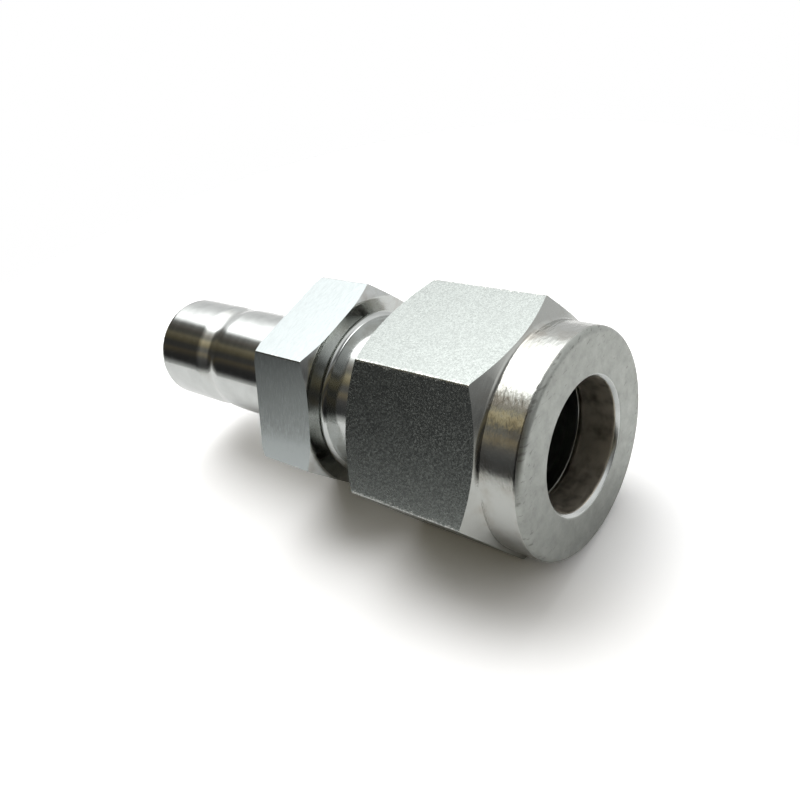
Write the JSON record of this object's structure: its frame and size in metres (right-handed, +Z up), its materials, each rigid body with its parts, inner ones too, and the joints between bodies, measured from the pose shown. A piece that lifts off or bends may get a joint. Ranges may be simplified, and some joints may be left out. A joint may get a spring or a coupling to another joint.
{
  "type": "compression tube fitting",
  "caption": "Straight steel compression fitting: a hexagon body with a plain grooved tube stub, a union nut with a round collar, and a pair of ferrules inside that grip an inserted tube.",
  "frame": {"origin": "on the fitting's axis, at the shoulder inside the body where an inserted tube stops", "axes": "+X along the axis towards the nut's open end, +Z up with one flat of the nut facing straight down"},
  "size_m": [0.0553, 0.0254, 0.022],
  "materials": {
    "body_steel": "turned and brushed stainless steel",
    "nut_steel": "stainless steel, turned collar and grainy drawn flats",
    "ferrule_steel": "fine turned stainless steel"
  },
  "bodies": {
    "fitting_body": {"body": "body_steel"},
    "ferrule_set": {"front_ferrule": "ferrule_steel", "back_ferrule": "ferrule_steel"},
    "nut": {"nut": "nut_steel"}
  },
  "joints": [
    {"name": "nut_travel", "type": "slide", "parent": "fitting_body", "child": "ferrule_set", "axis": [1, 0, 0], "range_m": [0, 0.0075]},
    {"name": "nut_turn", "type": "hinge", "parent": "ferrule_set", "child": "nut", "pos_m": [0, 0, 0], "axis": [1, 0, 0], "range_deg": [0, 1800]}
  ],
  "couplings": [
    {"joint": "nut_travel", "follows": "nut_turn", "m_per_rad": 0.00023873}
  ]
}
